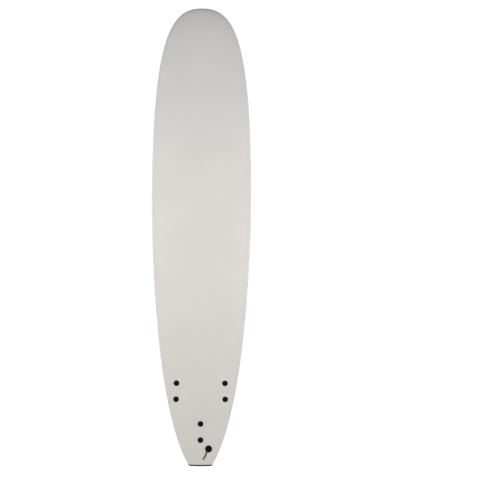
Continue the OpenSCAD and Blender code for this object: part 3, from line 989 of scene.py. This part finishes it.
def blade_chord(s):
    """The blade's chord at a share s of its depth."""
    return BLADE_ROOT * max(0.0, 1 - s ** 1.5) ** 0.7


def blade_rear(s):
    return 66 + 40 * s ** 1.3


def blade_depth(s):
    return BLADE_FOOT + (FIN_DEPTH - BLADE_FOOT) * s


def tip_circle():
    """The circle that rounds the blade's tip: its centre, and the shares where it meets the rear and the
    front edge."""
    s = np.linspace(0.7, 1, 1201)
    rear = blade_rear(s)
    front = rear - np.array([blade_chord(v) for v in s])
    depth = blade_depth(s)
    slope = np.gradient(rear, depth)
    across = TIP_R / np.sqrt(1 + slope ** 2)
    y, z = rear - across, depth + slope * across
    gap = np.hypot(y[:, None] - front, z[:, None] - depth)
    k = int(np.where(gap.min(1) >= TIP_R)[0].max())
    return float(y[k]), float(z[k]), float(s[k]), float(s[gap[k].argmin()])


TIP_Y, TIP_Z, REAR_MEETS, FRONT_MEETS = tip_circle()
TIP_SHARE = (TIP_Z + 0.999 * TIP_R - BLADE_FOOT) / (FIN_DEPTH - BLADE_FOOT)


def tip_half(s):
    return math.sqrt(max(0.0, TIP_R ** 2 - (blade_depth(s) - TIP_Z) ** 2))


def blade_edges(s):
    """The front and the rear of the blade at a share s of its depth, with the tip rounded."""
    rear = blade_rear(s)
    front = TIP_Y - tip_half(s) if s > FRONT_MEETS else rear - blade_chord(s)
    return front, TIP_Y + tip_half(s) if s > REAR_MEETS else rear


def blade_half(s, c):
    """Half the blade's thickness at a share c of its chord, for a share s of its depth."""
    front, rear = blade_edges(s)
    chord = rear - front
    size = (BLADE_T + (TIP_T - BLADE_T) * s) / 2 * min(1, chord / 30 + 0.3)
    shape = 1.9 * (math.sqrt(c) - c) + 0.35 * c * (1 - c)
    nose = math.sin(math.pi * min(1.0, c / 0.04) / 2)
    heel = math.sqrt(max(0.0, 1 - max(0.0, (c - 0.985) / 0.015) ** 2))
    return size * (2 * shape + 0.1 * nose * heel)


def foil_ring(s, grow=0.0):
    """Half of the blade's section as (half thickness, y), swollen by grow all round."""
    front, rear = blade_edges(s)
    front, rear = front - grow, rear + grow
    swell = max(0.0, grow)
    ring = []
    for k in range(ACROSS + 1):
        t = math.pi * k / ACROSS
        c = (1 - math.cos(t)) / 2
        ring.append((blade_half(s, c) + swell * math.sqrt(math.sin(t)) if 0 < k < ACROSS else 0.0,
                     front + (rear - front) * c))
    return ring


def tip_ring(s):
    """The blade's section, which also thins out over the rounded tip."""
    thin = 0.35 + 0.65 * tip_half(s) / TIP_R if blade_depth(s) > TIP_Z else 1.0
    return [(x * thin, y) for x, y in foil_ring(s)]


def pad_ring(shrink):
    """Half of the base's stadium outline as (half width, y), set in by shrink."""
    l, w = BASE_L - 2 * shrink, BASE_W - 2 * shrink
    straight = (l - w) / 2
    ring = []
    for k in range(ACROSS + 1):
        y = -l / 2 * math.cos(math.pi * k / ACROSS)
        over = max(0.0, abs(y) - straight)
        ring.append((math.sqrt(max(0.0, (w / 2) ** 2 - over ** 2)) if 0 < k < ACROSS else 0.0, y))
    return ring


def both_sides(ring, z, lean):
    """The ring's two mirrored sides at a height, leaning sideways with it."""
    over = math.tan(math.radians(lean)) * max(0.0, z - 5)
    points = [(x + over, y, z) for x, y in ring]
    return points + [(-x + over, y, z) for x, y in ring[-2:0:-1]]


def fin_rings(lean):
    """The fin's sections from under its base to its tip."""
    root = 0.02
    rings = [both_sides(pad_ring(shrink), z, 0)
             for shrink, z in ((0.5, 0.1), (0.12, 0.25), (0, 0.7), (0, PAD_SIDE))]
    foot, pad = foil_ring(root, FILLET), pad_ring(0)
    dome = 12
    for k in range(1, dome + 1):
        t = (k / dome) ** 1.6
        ring = [(a[0] + (b[0] - a[0]) * t, a[1] + (b[1] - a[1]) * t) for a, b in zip(pad, foot)]
        rise = 1 - (1 - min(1.0, 1.12 * t)) ** 2.6
        rings.append(both_sides(ring, PAD_SIDE + (PAD_TOP - PAD_SIDE) * rise, 0))
    turns = 6
    for k in range(1, turns + 1):
        a = math.pi / 2 * k / turns
        ring = foil_ring(root, FILLET * (1 - math.sin(a)))
        rings.append(both_sides(ring, PAD_TOP + FILLET * (1 - math.cos(a)), lean))
    first = (PAD_TOP + FILLET - BLADE_FOOT) / (FIN_DEPTH - BLADE_FOOT)
    shares = 52
    for k in range(1, shares + 1):
        s = first + (TIP_SHARE - first) * math.sin(math.pi / 2 * k / shares) ** 0.9
        rings.append(both_sides(tip_ring(s), blade_depth(s), lean))
    return rings


def make_fin(place):
    obj = loft("fin_%s_moulding" % place, fin_rings(FINS[place][3]), 40)
    ends = [Matrix.Translation((0, end * BOLT_PITCH / 2 * MM, 0)) for end in (FRONT, REAR)]
    chamfer, sunk = 0.5, 1.5
    post = [(0, -POST_L), (POST_R - chamfer, -POST_L), (POST_R, -POST_L + chamfer), (POST_R, sunk), (0, sunk)]
    combine(obj, [lathe("post", post, 64, matrix=at) for at in ends], "UNION")
    holes = [drill(at, INSERT_R, -POST_L - 1, -POST_L + INSERT_L, 48) for at in ends]
    # A shallow moulded ring near the front of the base
    mark = lathe("drill", [(5.2, 4.0), (6.4, 4.0), (6.4, 9), (5.2, 9)], 64,
                 matrix=Matrix.Translation((0, -(BASE_L / 2 - 18) * MM, 0)))
    combine(obj, holes + [mark], "DIFFERENCE")
    transform(obj, fin_frame(place))
    settle(obj, FIN_PLASTIC, "fin_" + place, "fin_plastic", "fin_" + place)


for fin_place in FINS:
    make_fin(fin_place)
    repaint("fin_inserts_" + fin_place, BRASS)


# ---- fin bolts

# The screw's tip above the bottom sheet, its head and its shank, and its thread
SCREW_TIP = 15.5
HEAD_SEAT, HEAD_H, HEAD_R, SCREW_R = 3.5, 3.3, 6.0, 3.0
THREAD_PITCH, THREAD_ROOT, THREAD_L = 1.25, 2.55, 16
SOCKET_R, SOCKET_DEPTH = 2.3, 2.0


def make_ferrule(place, end):
    """A flanged bush let into the deck, with a counterbore for the screw's head."""
    corners = [(3.3, -20), (8, -20), (8, -3), (FLANGE_R, -3), (FLANGE_R, 1), (6.3, 1), (6.3, -3.5),
               (3.3, -3.5)]
    profile = round_profile(corners, [0, 0.6, 0, 0.4, 1.6, 0.5, 0, 0], True)
    obj = lathe("ferrule_%s_%s_flange" % (place, END_NAME[end]), profile, 96, 30, BOLTS[(place, end)])
    settle(obj, BLACK_PLASTIC, "board", "black_plastic", "ferrule_%s_%s" % (place, END_NAME[end]))


def thread_ring(h, sides):
    """The threaded shank's section at a height h above its tip. The thread runs out to a cone there."""
    ring = []
    for k in range(sides):
        a = 2 * math.pi * k / sides
        phase = (h / THREAD_PITCH - k / sides) % 1.0
        ridge = max(0.0, 1 - abs(phase - 0.5) * 2.6)
        grow = min(1.0, h / (1.5 * THREAD_PITCH) + 0.1)
        r = THREAD_ROOT + (SCREW_R - THREAD_ROOT) * ridge * grow
        if h < 0.8:
            r = min(r, 2.0 + h * 0.9)
        ring.append((r * math.cos(a), r * math.sin(a)))
    return ring


def make_screw(place, end):
    """A pan-headed screw with a hexagonal socket and a rolled thread."""
    seat = -HEAD_SEAT + 0.1
    tip = -(deck_depth(place, end) - SCREW_TIP)
    top = seat + HEAD_H
    sides = 24
    steps = math.ceil(THREAD_L / THREAD_PITCH * 8)
    rings = []
    for k in range(steps):
        h = k * THREAD_PITCH / 8
        rings.append([(x, y, tip + h) for x, y in thread_ring(h, sides)])
    for h in (tip + steps * THREAD_PITCH / 8, tip + THREAD_L + 1, seat):
        rings.append(circle_points(SCREW_R - 0.02, h, sides))
    head = round_profile([(HEAD_R, seat), (HEAD_R, top), (0, top)], [0, 1.1, 0], False, 5)
    for r, h in head[:-1]:
        rings.append(circle_points(r, h, sides * 2))
    verts, rows = [], []
    for ring in rings:
        rows.append(list(range(len(verts), len(verts) + len(ring))))
        verts += ring
    faces = []
    for a, b in zip(rows, rows[1:]):
        ratio = len(b) // len(a)
        for k in range(len(a)):
            over = [b[(ratio * k + m) % len(b)] for m in range(ratio, -1, -1)]
            faces.append((a[k], a[(k + 1) % len(a)], *over))
    faces.append(tuple(rows[0]))
    faces.append(tuple(rows[-1]))
    obj = add_object("screw_%s_%s" % (place, END_NAME[end]), verts, faces, 30)
    floor, brim = top - SOCKET_DEPTH, SOCKET_R + 0.3
    socket = lathe("drill", [(0, floor), (SOCKET_R, floor), (SOCKET_R, top - 0.25), (brim, top + 0.1),
                             (brim, top + 1), (0, top + 1)], 6)
    combine(obj, [socket], "DIFFERENCE", 30)
    transform(obj, BOLTS[(place, end)])
    settle(obj, BLACKENED, "screw_%s_%s" % (place, END_NAME[end]), "blackened_steel",
           "fin_screw_%s_%s" % (place, END_NAME[end]))


for bolt in BOLTS:
    make_ferrule(*bolt)
    make_screw(*bolt)


# ---- leash plug

STEM_R, CUP_BODY_R, CUP_HOLLOW_R, NUT_FLANGE_R = 6.0, 14.5, 11.5, 20.0


def make_cup():
    """The flanged cup, with a stem for the nut, a hollow for the string and a hole for the bar."""
    stem_end, body_end, flange_under, flange_top, hollow_end = 4 - PLUG_D, -23, -1.5, 2, -20
    corners = [(0, stem_end), (STEM_R, stem_end), (STEM_R, body_end), (CUP_BODY_R, body_end),
               (CUP_BODY_R, flange_under), (CUP_FLANGE_R, flange_under), (CUP_FLANGE_R, flange_top),
               (CUP_HOLLOW_R, flange_top), (CUP_HOLLOW_R, hollow_end), (0, hollow_end)]
    radii = [0, 0.6, 0, 1.5, 0, 0.4, 1.9, 1.2, 1.5, 0]
    obj = lathe("leash_cup_moulding", round_profile(corners, radii, False), 128, 30, PLUG_DECK)
    bar_frame = PLUG_DECK @ Matrix.Translation((0, 0, -BAR_DEPTH * MM)) @ Matrix.Rotation(math.pi / 2, 4, "Y")
    combine(obj, [drill(bar_frame, BAR_R, -BAR_HALF, BAR_HALF, 48)], "DIFFERENCE", 30)
    settle(obj, BLACK_PLASTIC, "board", "black_plastic", "leash_cup")


def make_nut():
    """The nut's sleeve and its flange, which has a rounded edge, a fine ring and a cross slot."""
    sleeve, face = 9.5, 3.1
    inside = [(0, -2), (STEM_R + 0.05, -2), (STEM_R + 0.05, -16), (sleeve - 0.3, -16), (sleeve, -15.7)]
    edge = [(sleeve, 0.1), (NUT_FLANGE_R - 0.3, 0.1), (NUT_FLANGE_R, 0.4)]
    edge += rounded((NUT_FLANGE_R, face), (NUT_FLANGE_R, 0.4), (0, face), 1.7)
    ring = [(16.2, face), (15.9, face - 0.15), (15.3, face - 0.15), (15.0, face), (0, face)]
    obj = lathe("leash_nut_moulding", inside + edge + ring, 128, 30)
    long, wide, floor, over = 7.5, 1.1, 1.9, 5
    slot = add_box("drill", (-long, -wide, floor), (long, wide, over))
    cross = add_box("drill", (-wide, -long, floor), (wide, long, over))
    combine(obj, [slot, cross], "DIFFERENCE", 30)
    transform(obj, PLUG_FRAME @ Matrix.Rotation(math.radians(35), 4, "Z"))
    settle(obj, BLACK_PLASTIC, "board", "black_plastic", "leash_nut")


make_cup()
make_nut()
for node_name, node_material in (("leash_bar", STEEL), ("foam_core", BEAD_FOAM), ("stringer_left", WOOD),
                                 ("stringer_right", WOOD)):
    repaint(node_name, node_material)


# ---- printed marks on the bottom

def make_print(name, strokes):
    """Thin printed strokes that follow the bottom sheet. Each stroke is a list of (x, z, half width)."""
    lift, skin = 0.16, 0.02
    inside = 200
    verts, faces = [], []
    for stroke in strokes:
        pts = np.array([(x, z) for x, z, _ in stroke], float)
        run = np.gradient(pts, axis=0)
        run /= np.linalg.norm(run, axis=1, keepdims=True)
        base = len(verts)
        for (x, z, half), (dx, dz) in zip(stroke, run):
            for h in (skin, lift):
                for side in (-1, 1):
                    px, pz = x - dz * half * side, z + dx * half * side
                    verts.append((px, float(bottom_y(pz, inside)) + h, pz))
        n = len(stroke)
        for k in range(n - 1):
            a, b = base + 4 * k, base + 4 * (k + 1)
            faces += [(a, a + 1, b + 1, b), (a + 2, a + 3, b + 3, b + 2), (a, a + 2, b + 2, b),
                      (a + 1, a + 3, b + 3, b + 1)]
        for a in (base, base + 4 * (n - 1)):
            faces.append((a, a + 1, a + 3, a + 2))
    obj = add_object(name, verts, faces, 30)
    settle(obj, PRINT, "board", "black_plastic")


def wave_stroke(middle, z, length, height, thick, count=40):
    """A stroke of two waves that thins out towards its ends."""
    out = []
    for k in range(count + 1):
        t = k / count
        half = 0.25 + thick / 2 * math.sin(math.pi * t) ** 0.6
        out.append((middle + (t - 0.5) * length, z + height * math.sin(4 * math.pi * t), half))
    return out


def dash(z, half_length, half_width, count=12):
    return [(-half_length + 2 * half_length * k / count, z, half_width) for k in range(count + 1)]


make_print("bottom_wave_mark", [wave_stroke(0, 487, 70, 5.5, 8.4), wave_stroke(5, 469, 58, 5, 7.6),
                                wave_stroke(-4, 451, 44, 4.5, 6.6)])
make_print("bottom_tail_mark", [dash(27, 16, 1.1)])


# ---- floor, lights and background

# How bright the floor looks to the camera, and to everything else
FLOOR_SEEN, FLOOR_GLOW = 0.95, 0.29
# The same for the sky, whose glow is stronger to either side of the board, like two long softboxes
SKY_SEEN, SIDE_GLOW, BASE_GLOW = 1.05, 1.74, 0.06
# The sky is dark overhead: it fades out between these two values of its direction's Z
SHADE_FROM, SHADE_TO = 0.2, 0.5


def make_floor():
    mesh = bpy.data.meshes.new("Floor")
    size, drop = 30.0, -0.0005
    corners = [(-size, -size, drop), (size, -size, drop), (size, size, drop), (-size, size, drop)]
    mesh.from_pydata(corners, [], [(0, 1, 2, 3)])
    floor = place_object("Floor", mesh)
    p = Paint("floor_paper", (0.66, 0.66, 0.66), 0.9)
    fine = p.grain(40.0)
    p.colour(p.mix(fine, (0.65, 0.65, 0.65), (0.67, 0.67, 0.67)))
    p.shader.inputs["Emission Color"].default_value = (1, 1, 1, 1)
    seen = p.node("LightPath").outputs["Is Camera Ray"]
    p.link(p.remap(seen, 0, 1, FLOOR_GLOW, FLOOR_SEEN), p.shader.inputs["Emission Strength"])
    floor.data.materials.append(p.material)


def area_light(name, place, target, width, height, power):
    data = bpy.data.lights.new(name, "AREA")
    data.shape = "RECTANGLE"
    data.size, data.size_y = width, height
    data.energy = power
    light = place_object(name, data)
    light.location = place
    light.visible_camera = False
    light.rotation_euler = (Vector(target) - Vector(place)).to_track_quat("-Z", "Y").to_euler()


def make_world():
    world = bpy.data.worlds.new("World")
    world.use_nodes = True
    sky = Nodes(world.node_tree)
    way = sky.split(sky.node("TexCoord").outputs["Generated"])
    side = sky.math("MULTIPLY_ADD", sky.math("MULTIPLY", way["X"], way["X"]), SIDE_GLOW, BASE_GLOW)
    shade = sky.remap(way["Z"], SHADE_FROM, SHADE_TO, 1, 0, "SMOOTHSTEP")
    lit = sky.tree.nodes["Background"]
    lit.inputs["Color"].default_value = (1, 1, 1, 1)
    sky.link(sky.math("MULTIPLY", side, shade), lit.inputs["Strength"])
    seen = sky.node("Background", Color=(1, 1, 1, 1), Strength=SKY_SEEN)
    mix = sky.node("MixShader")
    sky.link(sky.node("LightPath").outputs["Is Camera Ray"], mix.inputs["Fac"])
    sky.link(lit.outputs["Background"], mix.inputs[1])
    sky.link(seen.outputs["Background"], mix.inputs[2])
    sky.link(mix.outputs["Shader"], sky.tree.nodes["World Output"].inputs["Surface"])
    SCENE.world = world


# One pair of lamps is in front of the board and one behind it, level with its middle, in metres
LAMP_Z = 1.42

make_floor()
make_world()
for side in (-1, 1):
    area_light("SoftFront", (side * 1.6, -1.45, LAMP_Z), (0, 0, LAMP_Z), 0.6, 0.9, 18)
    area_light("SoftBack", (side * 1.9, 1.9, LAMP_Z), (0, 0, LAMP_Z), 1.0, 1.6, 24)
SCENE.view_settings.view_transform = "Standard"
SCENE.view_settings.look = "None"
